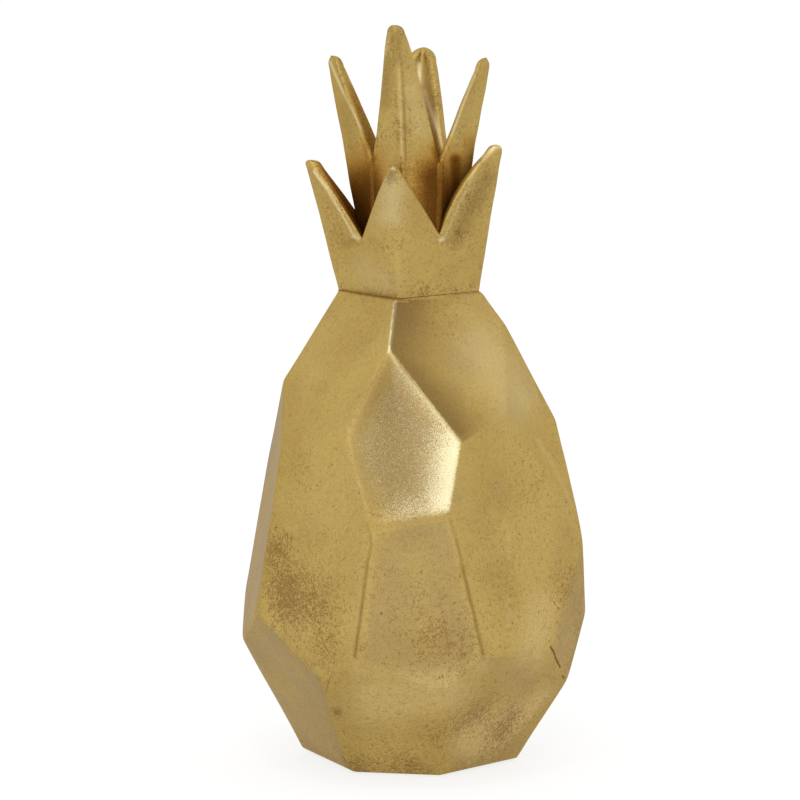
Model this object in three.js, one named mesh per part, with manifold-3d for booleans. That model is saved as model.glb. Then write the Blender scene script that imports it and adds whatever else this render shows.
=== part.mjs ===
// Pineapple figurine: a hollow faceted fruit with a glued crown of folded leaves. Millimetres, +Z up.
// The origin is on the surface that the figurine stands on, under the fruit's axis. The front faces -Y.
// Azimuths are in degrees from the front, growing towards the right (+X).
import * as THREE from 'three';
import { ConvexGeometry } from 'three/addons/geometries/ConvexGeometry.js';
import { mergeVertices } from 'three/addons/utils/BufferGeometryUtils.js';
import Module from 'manifold-3d';

const wasm = await Module();
wasm.setup();

// Driving dimensions of the fruit
const FRUIT_HEIGHT = 152;
const FRUIT_HALF_WIDTH = 54;
const EDGE_RADIUS = 4;
const WALL = 5;
const NECK_DECK = 8;
const BASE_FLOOR = 8;

// Driving dimensions of the underside
const FELT_THICKNESS = 1.2;
const FELT_PROUD = 0.5;
const FELT_INSET = 4;
const PLUG_RADIUS = 9;
const PLUG_LIP = 2;
const PLUG_LIP_THICKNESS = 2;

// Driving dimensions of the crown
const SPIGOT_RADIUS = 9.5;
const COLLAR_FLOOR = 5;
const COLLAR_FOOT_RADIUS = 23;
const OUTER_TIP_RADIUS = 35;
const OUTER_LEAF_HEIGHT = 46.5;
const OUTER_LEAF_THICKNESS = 2.2;
const OUTER_TIP_ROUNDING = 2.6;
const OUTER_NOTCH_HEIGHT = 19;
const INNER_LEAF_HEIGHT = 69;
const INNER_NOTCH_HEIGHT = 36;
const INNER_TIP_RADIUS = 26;
const INNER_RING_RADIUS = 15.4;
const INNER_LEAF_THICKNESS = 3;
const INNER_RIDGE_HALF_WIDTH = 1.25;
const TENON_WIDTH = 9;
const TENON_THICKNESS = 2;

// Clearance between pieces that are glued to each other, and the overrun of every cut
const FIT_GAP = 0.3;
const OVERRUN = 5;

const ROUND_STEPS = 40;
const COPLANAR = 1e-6;

// The fruit's facets in rings, as [azimuth, reach, taper]. At the belly a facet is reach half-widths from
// the axis, and over the fruit's whole height it draws in by taper half-widths.
const BELLY_SHARE = 0.456;
const shoulderShares = [
  [-50, 1.38, 1.94],
  [37, 1.3, 1.92],
  [114, 1.25, 1.62],
  [131, 1.31, 1.86],
  [-139, 1.22, 1.7],
  [-120, 0.99, 1.13],
];
const diamondShares = [
  [7, 1.06, 1.0],
  [65, 1.01, 1.01],
  [148, 1.0, 0.95],
  [-155, 0.98, 0.9],
];
const flankShares = [
  [-84, 0.9, 0.41],
  [-40, 0.93, 0.17],
  [10, 0.94, 0],
  [47, 0.83, 0.36],
  [69, 0.98, -0.34],
  [102, 0.975, 0.45],
  [140, 0.93, 0.2],
  [-178, 0.94, 0.1],
  [-145, 0.93, 0.3],
  [-119, 0.93, 0.76],
];
const footShares = [
  [-64, 1.19, -1.64],
  [-10, 1.46, -2.46],
  [45, 1.19, -1.72],
  [113, 1.18, -1.24],
  [165, 1.26, -1.7],
  [-158, 1.24, -1.6],
  [-116, 1.12, -0.89],
];
const facetShares = [...shoulderShares, ...diamondShares, ...flankShares, ...footShares];

// The outer leaves, as shares of the collar's foot radius, the tip radius and the leaf height, with the
// height of the notch on each leaf's left as a share of the usual notch's. Rounding is a share of the usual
// tip's, and swell is how far the leaf's sides bulge, as a share of their length.
const outerLeafShares = [
  { azimuth: -12, twist: -1, foot: 0.9, tip: 0.88, height: 0.91, notch: 0.91, rounding: 1.1, swell: 0.02 },
  { azimuth: 85, twist: -5, foot: 0.95, tip: 0.86, height: 1, notch: 1, rounding: 1.7, swell: 0.09 },
  { azimuth: 172, twist: 0, foot: 0.94, tip: 0.88, height: 0.94, notch: 0.8, rounding: 1.2, swell: 0.03 },
  { azimuth: -94, twist: 0, foot: 1, tip: 0.985, height: 0.88, notch: 0.65, rounding: 1, swell: 0.02 },
];

// Points along an outer leaf's side, and along the arc that rounds its tip
const sideShares = [0.2, 0.4, 0.6, 0.8];
const arcShares = [0, 0.25, 0.5, 0.75, 1];

// The inner leaves, with their heights and reaches as shares of the usual leaf's. Lean is how far the tip
// lies to the leaf's right, as a share of its reach, and swell widens the blade towards its tip by a share.
const innerLeafShares = [
  { side: 'front', azimuth: -8, height: 1.165, reach: 1, lean: -0.06, swell: 0 },
  { side: 'right', azimuth: 82, height: 0.99, reach: 0.96, lean: 0, swell: 0.1 },
  { side: 'back', azimuth: 172, height: 1, reach: 1, lean: -0.03, swell: 0.3 },
  { side: 'left', azimuth: -98, height: 0.99, reach: 1.01, lean: 0, swell: 0.1 },
];

// Sections of an inner leaf's shank, from the collar floor up to the notch: height as a share of the
// notch height, ridge as a share of the leaf's reach, joint as a share of the ring's radius
const shankShares = [
  { height: 0, ridge: 0.53, joint: 0.8 },
  { height: 0.4, ridge: 0.64, joint: 0.945 },
  { height: 0.8, ridge: 0.74, joint: 0.99 },
];

// Sections of its blade, from the notch up to the tip: height as a share of the blade's length, ridge as
// a share of the leaf's reach, and width as a share of the width at the notch
const bladeShares = [
  { height: 0, ridge: 0.79, width: 1 },
  { height: 0.2, ridge: 0.83, width: 0.82 },
  { height: 0.5, ridge: 0.9, width: 0.61 },
  { height: 0.8, ridge: 0.97, width: 0.4 },
  { height: 0.93, ridge: 1, width: 0.28 },
  { height: 0.98, ridge: 0.995, width: 0.18 },
  { height: 1, ridge: 0.975, width: 0.1 },
];

const goldLeaf = { color: 0xb39b58, roughness: 0.42, metalness: 0.55, flatShading: true };
const bareResin = { color: 0x6b5644, roughness: 0.7, metalness: 0, flatShading: true };
const felt = { color: 0x2f3a30, roughness: 0.95, metalness: 0, flatShading: true };

const UP = new THREE.Vector3(0, 0, 1);
const DOWN = new THREE.Vector3(0, 0, -1);

// A direction in the horizontal plane
function heading(azimuth) {
  const angle = THREE.MathUtils.degToRad(azimuth);
  return new THREE.Vector3(Math.sin(angle), -Math.cos(angle), 0);
}

// A closed geometry as a solid that can be joined and cut
function solidOf(geometry) {
  const bare = geometry.clone();
  bare.deleteAttribute('normal');
  bare.deleteAttribute('uv');
  const merged = mergeVertices(bare);
  const vertProperties = Float32Array.from(merged.attributes.position.array);
  const triVerts = Uint32Array.from(merged.index.array);
  return new wasm.Manifold(new wasm.Mesh({ numProp: 3, vertProperties, triVerts }));
}

function meshOf(name, solid, look) {
  const { vertProperties, triVerts } = solid.getMesh();
  const geometry = new THREE.BufferGeometry();
  geometry.setAttribute('position', new THREE.BufferAttribute(vertProperties, 3));
  geometry.setIndex(new THREE.BufferAttribute(triVerts, 1));
  geometry.computeVertexNormals();
  const mesh = new THREE.Mesh(geometry, new THREE.MeshStandardMaterial(look));
  mesh.name = name;
  return mesh;
}

function cutAll(body, cuts) {
  return cuts.reduce((rest, cut) => rest.subtract(cut), body);
}

// A solid turned about the Z axis from [radius, height] points that start and end on the axis
function turned(profile) {
  const points = profile.map(([radius, height]) => new THREE.Vector2(radius, height));
  return solidOf(new THREE.LatheGeometry(points, ROUND_STEPS).rotateX(Math.PI / 2));
}

function cylinder(radius, bottom, top) {
  return turned([[0, bottom], [radius, bottom], [radius, top], [0, top]]);
}

function prism(shape, bottom, top) {
  const geometry = new THREE.ExtrudeGeometry(shape, { depth: top - bottom, bevelEnabled: false });
  return solidOf(geometry.translate(0, 0, bottom));
}

// A plane's normal points out of the body that it bounds
function facetPlane([azimuth, reach, taper]) {
  const normal = heading(azimuth).divideScalar(FRUIT_HALF_WIDTH);
  normal.z = taper / FRUIT_HEIGHT;
  return new THREE.Plane(normal, -reach - taper * BELLY_SHARE).normalize();
}

function movedIn(plane, distance) {
  return new THREE.Plane(plane.normal, plane.constant + distance);
}

function levelPlane(normal, height) {
  return new THREE.Plane(normal, -normal.z * height);
}

// The point where three planes meet, or null where two of them are parallel
function meetingPoint(a, b, c) {
  const across = new THREE.Vector3().crossVectors(b.normal, c.normal);
  const volume = a.normal.dot(across);
  if (Math.abs(volume) < COPLANAR) return null;
  const point = across.multiplyScalar(-a.constant);
  point.addScaledVector(new THREE.Vector3().crossVectors(c.normal, a.normal), -b.constant);
  point.addScaledVector(new THREE.Vector3().crossVectors(a.normal, b.normal), -c.constant);
  return point.divideScalar(volume);
}

// The corners of the body inside the planes, each with the three planes that meet there
function cornersOf(planes) {
  const corners = [];
  planes.forEach((a, i) => {
    planes.slice(0, i).forEach((b, j) => {
      planes.slice(0, j).forEach((c) => {
        const point = meetingPoint(a, b, c);
        if (point && planes.every((plane) => plane.distanceToPoint(point) < COPLANAR)) {
          corners.push({ point, planes: [a, b, c] });
        }
      });
    });
  });
  return corners;
}

function bodyInside(planes) {
  return solidOf(new ConvexGeometry(cornersOf(planes).map((corner) => corner.point)));
}

// One more plane along each edge of the body, which takes the edge down to the given radius
function easingPlanes(planes, radius) {
  const corners = cornersOf(planes);
  const eased = [];
  planes.forEach((a, i) => {
    planes.slice(0, i).forEach((b) => {
      const ends = corners.filter((corner) => corner.planes.includes(a) && corner.planes.includes(b));
      if (ends.length < 2) return;
      const normal = a.normal.clone().add(b.normal).normalize();
      const depth = radius * (1 / normal.dot(a.normal) - 1);
      eased.push(new THREE.Plane(normal, depth - normal.dot(ends[0].point)));
    });
  });
  return eased;
}

const facets = facetShares.map(facetPlane);
const recessCeiling = FELT_THICKNESS + FIT_GAP - FELT_PROUD;

// The outline of the fruit's underside, moved in from its edge
function undersideOutline(inset) {
  const planes = facets.map((plane) => movedIn(plane, inset));
  const corners = cornersOf([...planes, levelPlane(DOWN, 0), levelPlane(UP, FRUIT_HEIGHT)]);
  const rim = corners.map((corner) => corner.point).filter((point) => Math.abs(point.z) < COPLANAR);
  rim.sort((a, b) => Math.atan2(a.y, a.x) - Math.atan2(b.y, b.x));
  return new THREE.Shape(rim);
}

function fruitBody() {
  const ends = [levelPlane(UP, FRUIT_HEIGHT), levelPlane(DOWN, 0)];
  const skin = [...facets, ...ends];
  const outside = bodyInside([...skin, ...easingPlanes(skin, EDGE_RADIUS)]);
  const lining = facets.map((plane) => movedIn(plane, WALL));
  const hollow = bodyInside([...lining, movedIn(ends[0], NECK_DECK), movedIn(ends[1], BASE_FLOOR)]);
  const neckFloor = FRUIT_HEIGHT - NECK_DECK;
  const neckBore = cylinder(SPIGOT_RADIUS + FIT_GAP, neckFloor - OVERRUN, FRUIT_HEIGHT + OVERRUN);
  const feltRecess = prism(undersideOutline(FELT_INSET - FIT_GAP), -OVERRUN, recessCeiling);
  const pourOpening = cylinder(PLUG_RADIUS + FIT_GAP, -OVERRUN, BASE_FLOOR + OVERRUN);
  const lipSeatTop = recessCeiling + PLUG_LIP_THICKNESS + FIT_GAP;
  const lipSeat = cylinder(PLUG_RADIUS + PLUG_LIP + FIT_GAP, -OVERRUN, lipSeatTop);
  return cutAll(outside, [hollow, neckBore, feltRecess, pourOpening, lipSeat]);
}

function basePlug() {
  const lip = recessCeiling + PLUG_LIP_THICKNESS;
  return turned([
    [0, recessCeiling],
    [PLUG_RADIUS + PLUG_LIP, recessCeiling],
    [PLUG_RADIUS + PLUG_LIP, lip],
    [PLUG_RADIUS, lip],
    [PLUG_RADIUS, BASE_FLOOR],
    [0, BASE_FLOOR],
  ]);
}

function feltPad() {
  return prism(undersideOutline(FELT_INSET), -FELT_PROUD, FELT_THICKNESS - FELT_PROUD);
}

// Points of an outer leaf's outer fold, at the collar's underside and at the tip. The crown's own frame
// starts at the collar's underside.
function outerFold(leaf) {
  const tip = heading(leaf.azimuth + leaf.twist).multiplyScalar(leaf.tip * OUTER_TIP_RADIUS);
  tip.z = leaf.height * OUTER_LEAF_HEIGHT;
  const foot = heading(leaf.azimuth).multiplyScalar(leaf.foot * COLLAR_FOOT_RADIUS);
  return { foot, tip, leaf };
}

// An outer leaf's side in the plane of the collar's face, as points that start just above the notch and end
// at the tip. The notch is at 0, 0.
function leafSide(tip, { rounding, swell }) {
  const origin = new THREE.Vector2();
  const radius = rounding * OUTER_TIP_ROUNDING;
  const centre = tip.clone().setY(tip.y - radius);
  const hand = Math.sign(tip.x);
  const toNotch = centre.clone().negate();
  const start = toNotch.angle() - hand * Math.acos(radius / toNotch.length());
  const turn = THREE.MathUtils.euclideanModulo(hand * (start - Math.PI / 2), 2 * Math.PI);
  const arc = arcShares.map((share) => {
    const arm = new THREE.Vector2(radius, 0).rotateAround(origin, start - hand * turn * share);
    return arm.add(centre);
  });
  const bulge = new THREE.Vector2(-arc[0].y, arc[0].x).multiplyScalar(hand * swell);
  const side = sideShares.map((share) => {
    const along = arc[0].clone().multiplyScalar(share);
    return along.addScaledVector(bulge, 1 - (2 * share - 1) ** 2);
  });
  return [...side, ...arc];
}

// The wedge between two outer leaves, cut square through the collar's face from its notch up
function notchWedge(left, right, face) {
  const between = left.tip.clone().add(right.tip).divideScalar(2);
  const under = left.foot.clone().add(right.foot).divideScalar(2);
  const notch = under.clone().lerp(between, (right.leaf.notch * OUTER_NOTCH_HEIGHT) / between.z);
  const along = right.tip.clone().sub(left.tip);
  along.addScaledVector(face.normal, -along.dot(face.normal)).normalize();
  const upward = new THREE.Vector3().crossVectors(face.normal, along).normalize();
  const [leftTip, rightTip] = [left.tip, right.tip].map((tip) => {
    const offset = tip.clone().sub(notch);
    return new THREE.Vector2(offset.dot(along), offset.dot(upward));
  });
  const above = [rightTip, leftTip].map((tip) => tip.clone().setY(tip.y + OVERRUN));
  const rightSide = leafSide(rightTip, right.leaf);
  const leftSide = leafSide(leftTip, left.leaf);
  const outline = new THREE.Shape([new THREE.Vector2(), ...rightSide, ...above, ...leftSide.toReversed()]);
  const depth = 2 * (OVERRUN + OUTER_LEAF_THICKNESS);
  const wedge = new THREE.ExtrudeGeometry(outline, { depth, bevelEnabled: false });
  const placed = new THREE.Matrix4().makeBasis(along, upward, face.normal).setPosition(notch);
  return solidOf(wedge.translate(0, 0, -depth / 2).applyMatrix4(placed));
}

// A tenon under an inner leaf, or with a gap the slot that it fits
function tenon(gap, bottom, top) {
  const middle = shankShares[0].ridge * INNER_TIP_RADIUS - INNER_LEAF_THICKNESS + TENON_THICKNESS / 2;
  const width = TENON_WIDTH + 2 * gap;
  const depth = TENON_THICKNESS + 2 * gap;
  const block = new THREE.BoxGeometry(width, depth, top - bottom);
  return block.translate(0, -middle, (top + bottom) / 2);
}

function crownCollar() {
  const folds = outerLeafShares.map(outerFold);
  const outside = solidOf(new ConvexGeometry(folds.flatMap((fold) => [fold.foot, fold.tip])));
  const spigot = cylinder(SPIGOT_RADIUS, -NECK_DECK, COLLAR_FLOOR);
  const pairs = folds.map((left, i) => {
    const right = folds[(i + 1) % folds.length];
    const between = left.tip.clone().add(right.tip).divideScalar(2);
    return { left, right, face: new THREE.Plane().setFromCoplanarPoints(left.foot, right.foot, between) };
  });
  const lining = pairs.map((pair) => movedIn(pair.face, OUTER_LEAF_THICKNESS));
  const mouth = levelPlane(UP, OUTER_LEAF_HEIGHT + OVERRUN);
  const well = bodyInside([...lining, levelPlane(DOWN, COLLAR_FLOOR), mouth]);
  const wedges = pairs.map(({ left, right, face }) => notchWedge(left, right, face));
  const slots = innerLeafShares.map(({ azimuth }) => {
    const slot = tenon(FIT_GAP, -OVERRUN, COLLAR_FLOOR + OVERRUN);
    return solidOf(slot.rotateZ(THREE.MathUtils.degToRad(azimuth)));
  });
  return cutAll(outside.add(spigot), [well, ...wedges, ...slots]);
}

// The half section of a folded leaf, mirrored about its ridge. Its edge lies at width from the leaf's
// middle plane and at radius from the crown's axis, and its end face runs towards that axis.
function leafSection(height, ridge, radius, width) {
  const thickness = Math.min(INNER_LEAF_THICKNESS, width);
  const ridgeHalf = Math.min(INNER_RIDGE_HALF_WIDTH, width / 2);
  const along = new THREE.Vector2(width - ridgeHalf, radius - ridge).normalize();
  const outward = new THREE.Vector2(-along.y, along.x);
  const mitre = new THREE.Vector2(1, 1).normalize();
  const edge = new THREE.Vector2(width, radius);
  const inner = edge.clone().addScaledVector(mitre, -thickness / mitre.dot(outward));
  const ridgeInner = new THREE.Vector2(0, inner.y - (inner.x * along.y) / along.x);
  const right = [inner, edge, new THREE.Vector2(ridgeHalf, ridge)];
  const left = right.map((point) => new THREE.Vector2(-point.x, point.y));
  const outline = [ridgeInner, ...left, ...right.toReversed()];
  return outline.map((point) => new THREE.Vector3(point.x, -point.y, height));
}

// A closed geometry through sections of equal point counts
function loft(sections) {
  const count = sections[0].length;
  const index = [];
  sections.slice(1).forEach((_, level) => {
    sections[0].forEach((__, i) => {
      const a = level * count + i;
      const b = level * count + ((i + 1) % count);
      index.push(a, b, b + count, a, b + count, a + count);
    });
  });
  const flat = sections[0].map((point) => new THREE.Vector2(point.x, point.y));
  const top = (sections.length - 1) * count;
  THREE.ShapeUtils.triangulateShape(flat, []).forEach(([a, b, c]) => {
    index.push(c, b, a, top + a, top + b, top + c);
  });
  const geometry = new THREE.BufferGeometry().setFromPoints(sections.flat());
  geometry.setIndex(index);
  return geometry;
}

// The point where a leaf's edge meets its neighbour's, short of the joint's plane by half the gap
function jointEdge(joint) {
  const halfAngle = Math.PI / innerLeafShares.length;
  const along = new THREE.Vector2(Math.sin(halfAngle), Math.cos(halfAngle));
  const across = new THREE.Vector2(-along.y, along.x);
  return along.multiplyScalar(joint).addScaledVector(across, FIT_GAP / 2);
}

function innerLeaf(leaf) {
  const reach = leaf.reach * INNER_TIP_RADIUS;
  const shank = shankShares.map(({ height, ridge, joint }) => {
    const edge = jointEdge(joint * INNER_RING_RADIUS);
    return leafSection(height * INNER_NOTCH_HEIGHT, ridge * reach, edge.y, edge.x);
  });
  const notch = jointEdge(INNER_RING_RADIUS);
  const foldDepth = bladeShares[0].ridge * reach - notch.y;
  const bladeLength = leaf.height * INNER_LEAF_HEIGHT - INNER_NOTCH_HEIGHT;
  const blade = bladeShares.map(({ height, ridge, width }) => {
    const level = INNER_NOTCH_HEIGHT + height * bladeLength;
    const spread = width * (1 + leaf.swell * height);
    const section = leafSection(level, ridge * reach, ridge * reach - width * foldDepth, spread * notch.x);
    section.forEach((point) => point.setX(point.x + leaf.lean * reach * height ** 2));
    return section;
  });
  const foot = solidOf(tenon(0, -COLLAR_FLOOR - FIT_GAP, INNER_LEAF_THICKNESS));
  return solidOf(loft([...shank, ...blade])).add(foot);
}

const crown = new THREE.Group();
crown.position.z = FRUIT_HEIGHT + FIT_GAP;
crown.add(meshOf('crown_collar', crownCollar(), goldLeaf));
innerLeafShares.forEach((leaf) => {
  const blade = meshOf(`inner_leaf_${leaf.side}`, innerLeaf(leaf), goldLeaf);
  blade.position.z = COLLAR_FLOOR + FIT_GAP;
  blade.rotation.z = THREE.MathUtils.degToRad(leaf.azimuth);
  crown.add(blade);
});

const fruit = new THREE.Group();
fruit.position.z = FELT_PROUD;
fruit.add(meshOf('fruit_body', fruitBody(), goldLeaf));
fruit.add(meshOf('base_plug', basePlug(), bareResin));
fruit.add(meshOf('felt_pad', feltPad(), felt));
fruit.add(crown);

const figurine = new THREE.Group();
figurine.add(fruit);

export default figurine;
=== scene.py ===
import math

import bpy
import numpy as np
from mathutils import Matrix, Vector


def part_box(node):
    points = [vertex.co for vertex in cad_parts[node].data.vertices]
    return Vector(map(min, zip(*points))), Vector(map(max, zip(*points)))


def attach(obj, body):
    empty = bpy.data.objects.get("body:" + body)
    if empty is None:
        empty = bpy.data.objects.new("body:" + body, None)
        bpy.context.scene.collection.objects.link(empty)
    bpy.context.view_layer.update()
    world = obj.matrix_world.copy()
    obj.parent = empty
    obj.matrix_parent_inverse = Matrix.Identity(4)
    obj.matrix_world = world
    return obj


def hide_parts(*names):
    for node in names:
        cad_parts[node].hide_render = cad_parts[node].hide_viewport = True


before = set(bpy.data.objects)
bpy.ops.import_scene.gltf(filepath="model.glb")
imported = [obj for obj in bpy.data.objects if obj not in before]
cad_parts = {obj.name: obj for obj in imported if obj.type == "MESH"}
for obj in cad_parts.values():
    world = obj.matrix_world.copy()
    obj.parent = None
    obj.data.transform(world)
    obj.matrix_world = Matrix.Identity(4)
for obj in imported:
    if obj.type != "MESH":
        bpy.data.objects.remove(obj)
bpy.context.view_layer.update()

# Every length here is in metres
MM = 0.001

# The photograph's view
PICTURE_SIDE = 800
PIXELS_PER_METRE = 3160.0
TARGET = Vector((0.0, 0.0, 119.2 * MM))
TARGET_PIXEL = (410.6, 394.6)
CAMERA_ELEVATION = 9.0
CAMERA_DISTANCE = 1.7
SENSOR_WIDTH = 36.0

# How closely the faces and points of the CAD meshes are matched
HULL_TOLERANCE = 0.01 * MM
PLANE_TOLERANCE = 0.02 * MM
LAYER = 0.1 * MM
SAME_DIRECTION = 0.99999
LEAST_FACING = 0.001
LEVEL_NORMAL = 0.99
UPRIGHT_NORMAL = 0.6

# The fruit's surface: its middle, how soft its edges are, where that changes, as shares of its height, how far
# the flats move out for it, and the mesh
CORE = np.array([0.0, 0.0, 70 * MM])
NECK_SOFTNESS = 0.05 * MM
TOP_SOFTNESS = 0.2 * MM
FOOT_SOFTNESS = 0.42 * MM
BASE_SOFTNESS = 0.08 * MM
NECK_ZONE = 0.95, 0.99
BELLY_ZONE = 0.25, 0.65
BASE_ZONE = 0.0, 0.05
RIM_SOFTNESS = 0.1 * MM
FLATS_OUT = 0.55
FACET_LEAST_AREA = 60 * MM**2
NECK_EASE = 0.4 * MM
FRUIT_COLUMNS = 640
NECK_ROWS, FRUIT_ROWS, BASE_ROWS = 21, 380, 31

# How hollow its facets are: all over, as wavelength and depth, and each one, below and above the belly
FRUIT_HOLLOWS = 26 * MM, 0.18 * MM
DISH_BELOW, DISH_ABOVE = 0.06 * MM, 0.26 * MM
DISH_ZONE = 0.3, 0.6
DISH_REACH = 5 * MM

# The collar: its wall, its edges, and how soft the folds of its leaves are, more in front and behind
COLLAR_LEAST_AREA = 250 * MM**2
COLLAR_LIFT = 0.03 * MM
COLLAR_WALL = 2.2 * MM
COLLAR_COLUMNS = 840
COLLAR_ROWS, LINING_ROWS = 64, 48
COLLAR_HOLLOWS = 16 * MM, 0.16 * MM
RIM_SMOOTHING = 0.6 * MM
RIM_STEP = 0.1 * MM
FOOT_EDGE = 0.05 * MM
FOLD_SOFTNESS, BLUNT_SOFTNESS, LINING_SOFTNESS = 0.3 * MM, 2.4 * MM, 0.8 * MM
BLUNT_FOLDS = -12, 172
FOLD_WIDTH = 45
FOLD_RISE = 23 * MM

# The inner leaves: their azimuths, and the thickness at the ridge and along the rounded edges
LEAF_AZIMUTHS = {"front": -8.0, "right": 82.0, "back": 172.0, "left": -98.0}
RIDGE_THICKNESS = {"front": 3.0 * MM, "right": 3.0 * MM, "back": 5.0 * MM, "left": 3.0 * MM}
TIP_ROUNDING = {"front": 1.4 * MM, "right": 2.6 * MM, "back": 1.8 * MM, "left": 2.6 * MM}
RIDGE_HALF_WIDTH = 1.25 * MM
LEAF_EDGES = {"front": 0.95 * MM, "right": 1.0 * MM, "back": 1.7 * MM, "left": 0.9 * MM}
VALLEY_HALF_WIDTH = 3.0 * MM
LEAF_CAP_ROWS, LEAF_ROWS = 14, 115

# The beads of filler between the inner leaves
JOINT_AZIMUTHS = 37.0, 127.0, 217.0, 307.0
JOINT_HALF_WIDTH = 1.4 * MM
JOINT_HALF_DEPTH = 1.15 * MM
JOINT_TOP = 36.7 * MM

FELT_VOXEL = 0.4 * MM

# How much larger the fruit's sockets are than what they hold
SOCKET_GAP = 0.3 * MM

# Softer edges: two pixels of the photograph, how far they reach in pixels, and how much softer
SOFT_EDGES = [
    ((380, 370), (346, 436), 16, 0.3 * MM), ((344, 446), (366, 525), 16, 0.3 * MM),
    ((378, 531), (442, 518), 12, 0.35 * MM), ((462, 443), (450, 516), 8, 0.2 * MM),
    ((495, 655), (540, 649), 18, 0.4 * MM),
]

# The bright facet at the front: a pixel on it, its corners, and how deep and how widely it is dished
BRIGHT_FACET = 400, 440
BRIGHT_TOP = 389, 352
BRIGHT_LEFT = (342, 441), (370, 533)
BRIGHT_RIGHT = (462, 443), (450, 516)
BRIGHT_DISH = 0.95 * MM
BRIGHT_DISH_REACH = 7.0 * MM


def heading(azimuth, elevation=0.0):
    """The direction at an azimuth from the front, growing to the right, and an elevation, in degrees."""
    a, e = math.radians(azimuth), math.radians(elevation)
    return Vector((math.sin(a) * math.cos(e), -math.cos(a) * math.cos(e), math.sin(e)))


def smoothstep(low, high, value):
    share = np.clip((value - low) / (high - low), 0.0, 1.0)
    return share * share * (3.0 - 2.0 * share)


def between(low, high, share):
    return low + (high - low) * share


def bell(distance, reach):
    """1 at no distance, falling softly towards 0 past the reach."""
    return np.exp(-((distance / reach) ** 2))


def lengths(vectors):
    return np.linalg.norm(vectors, axis=-1)


def unit(vectors):
    return vectors / lengths(vectors)[..., None]


def new_object(name, data):
    thing = bpy.data.objects.new(name, data)
    bpy.context.scene.collection.objects.link(thing)
    return thing


def put(thing, location, back):
    """Puts a camera or a lamp at a location, with its back in a direction."""
    thing.location = location
    thing.rotation_mode = "QUATERNION"
    thing.rotation_quaternion = (-back).to_track_quat("-Z", "Y")


# The camera
camera_back = heading(0.0, CAMERA_ELEVATION)
camera_right = Vector((1.0, 0.0, 0.0))
camera_up = camera_back.cross(camera_right)
middle = PICTURE_SIDE / 2
aim = TARGET - camera_right * ((TARGET_PIXEL[0] - middle) / PIXELS_PER_METRE)
aim += camera_up * ((TARGET_PIXEL[1] - middle) / PIXELS_PER_METRE)
focal_pixels = PIXELS_PER_METRE * CAMERA_DISTANCE
camera = new_object("camera", bpy.data.cameras.new("camera"))
camera.data.sensor_width = SENSOR_WIDTH
camera.data.lens = focal_pixels / PICTURE_SIDE * SENSOR_WIDTH
camera.data.clip_start = 0.1
camera.data.clip_end = 100.0
put(camera, aim + camera_back * CAMERA_DISTANCE, camera_back)
bpy.context.scene.camera = camera


def pixel_ray(x, y):
    """The direction from the camera through a pixel of the photograph."""
    across = camera_right * ((x - middle) / focal_pixels)
    down = camera_up * ((y - middle) / focal_pixels)
    return (across - down - camera_back).normalized()


def seen_at(points):
    """The photograph's pixel in which each point appears."""
    offset = points - np.array(camera.location)
    scale = focal_pixels / -(offset @ np.array(camera_back))
    across, up = offset @ np.array(camera_right), offset @ np.array(camera_up)
    return np.stack([middle + across * scale, middle - up * scale], axis=1)


def pixels_from(points, start, end):
    """How far, in the photograph's pixels, each point appears from the line between two pixels."""
    start, end = np.array(start, float), np.array(end, float)
    offset, along = seen_at(points) - start, end - start
    share = np.clip(offset @ along / max(along @ along, 1.0), 0.0, 1.0)
    return lengths(offset - share[:, None] * along)


def soft_line(points, start, end, reach):
    """1 on the line between two pixels, falling softly towards 0 past the reach, in pixels."""
    return bell(pixels_from(points, start, end), reach)


def drawn(points, lines):
    """The strongest line at each point; a line is two pixels, how far it reaches, and how strong it is."""
    return np.max([amount * soft_line(points, *line) for *line, amount in lines], axis=0)


# Mesh helpers
def mesh_points(mesh):
    points = np.empty(len(mesh.vertices) * 3)
    mesh.vertices.foreach_get("co", points)
    return points.reshape(-1, 3)


def node_points(node):
    return mesh_points(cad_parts[node].data)


def by_angle(points):
    """The points in their order round the axis."""
    return points[np.argsort(np.arctan2(points[:, 1], points[:, 0]))]


def outer_planes(node, least_area):
    """The large flat faces on a CAD node's convex hull, as unit normals and distances."""
    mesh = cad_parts[node].data
    points = mesh_points(mesh)
    areas = {}
    for face in mesh.polygons:
        normal = np.array(face.normal)
        distance = float(normal @ points[face.vertices[0]])
        if (points @ normal).max() > distance + HULL_TOLERANCE:
            continue
        same = (
            key
            for key in areas
            if np.dot(key[:3], normal) > SAME_DIRECTION and abs(key[3] - distance) < PLANE_TOLERANCE
        )
        key = next(same, (*normal, distance))
        areas[key] = areas.get(key, 0.0) + face.area
    planes = np.array([key for key, area in areas.items() if area > least_area])
    return planes[:, :3], planes[:, 3]


def tube(rows, start, end):
    """A closed mesh through rings of equally many points, from a start point to an end point."""
    count, around = rows.shape[:2]
    points = np.vstack([rows.reshape(-1, 3), [start], [end]])
    here = np.arange((count - 1) * around).reshape(-1, around)
    beside = np.roll(here, -1, axis=1)
    faces = np.stack([here, here + around, beside + around, beside], axis=-1).reshape(-1, 4).tolist()
    last = (count - 1) * around
    for i in range(around):
        j = (i + 1) % around
        faces.append([count * around, i, j])
        faces.append([count * around + 1, last + j, last + i])
    return points, faces


def level_rays(angles):
    return np.stack([np.cos(angles), np.sin(angles)], axis=1)


def level_ring(angles, radius, height):
    """A level ring of points at the angles, at one radius or at one for each angle."""
    return np.column_stack([level_rays(angles) * np.reshape(radius, (-1, 1)), np.full(len(angles), height)])


def round_end(distance, radius):
    """How full a rounded edge is at a distance from its end, as a share of its radius."""
    return np.sqrt(1.0 - (1.0 - np.clip(distance / radius, 0.0, 1.0)) ** 2)


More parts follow.
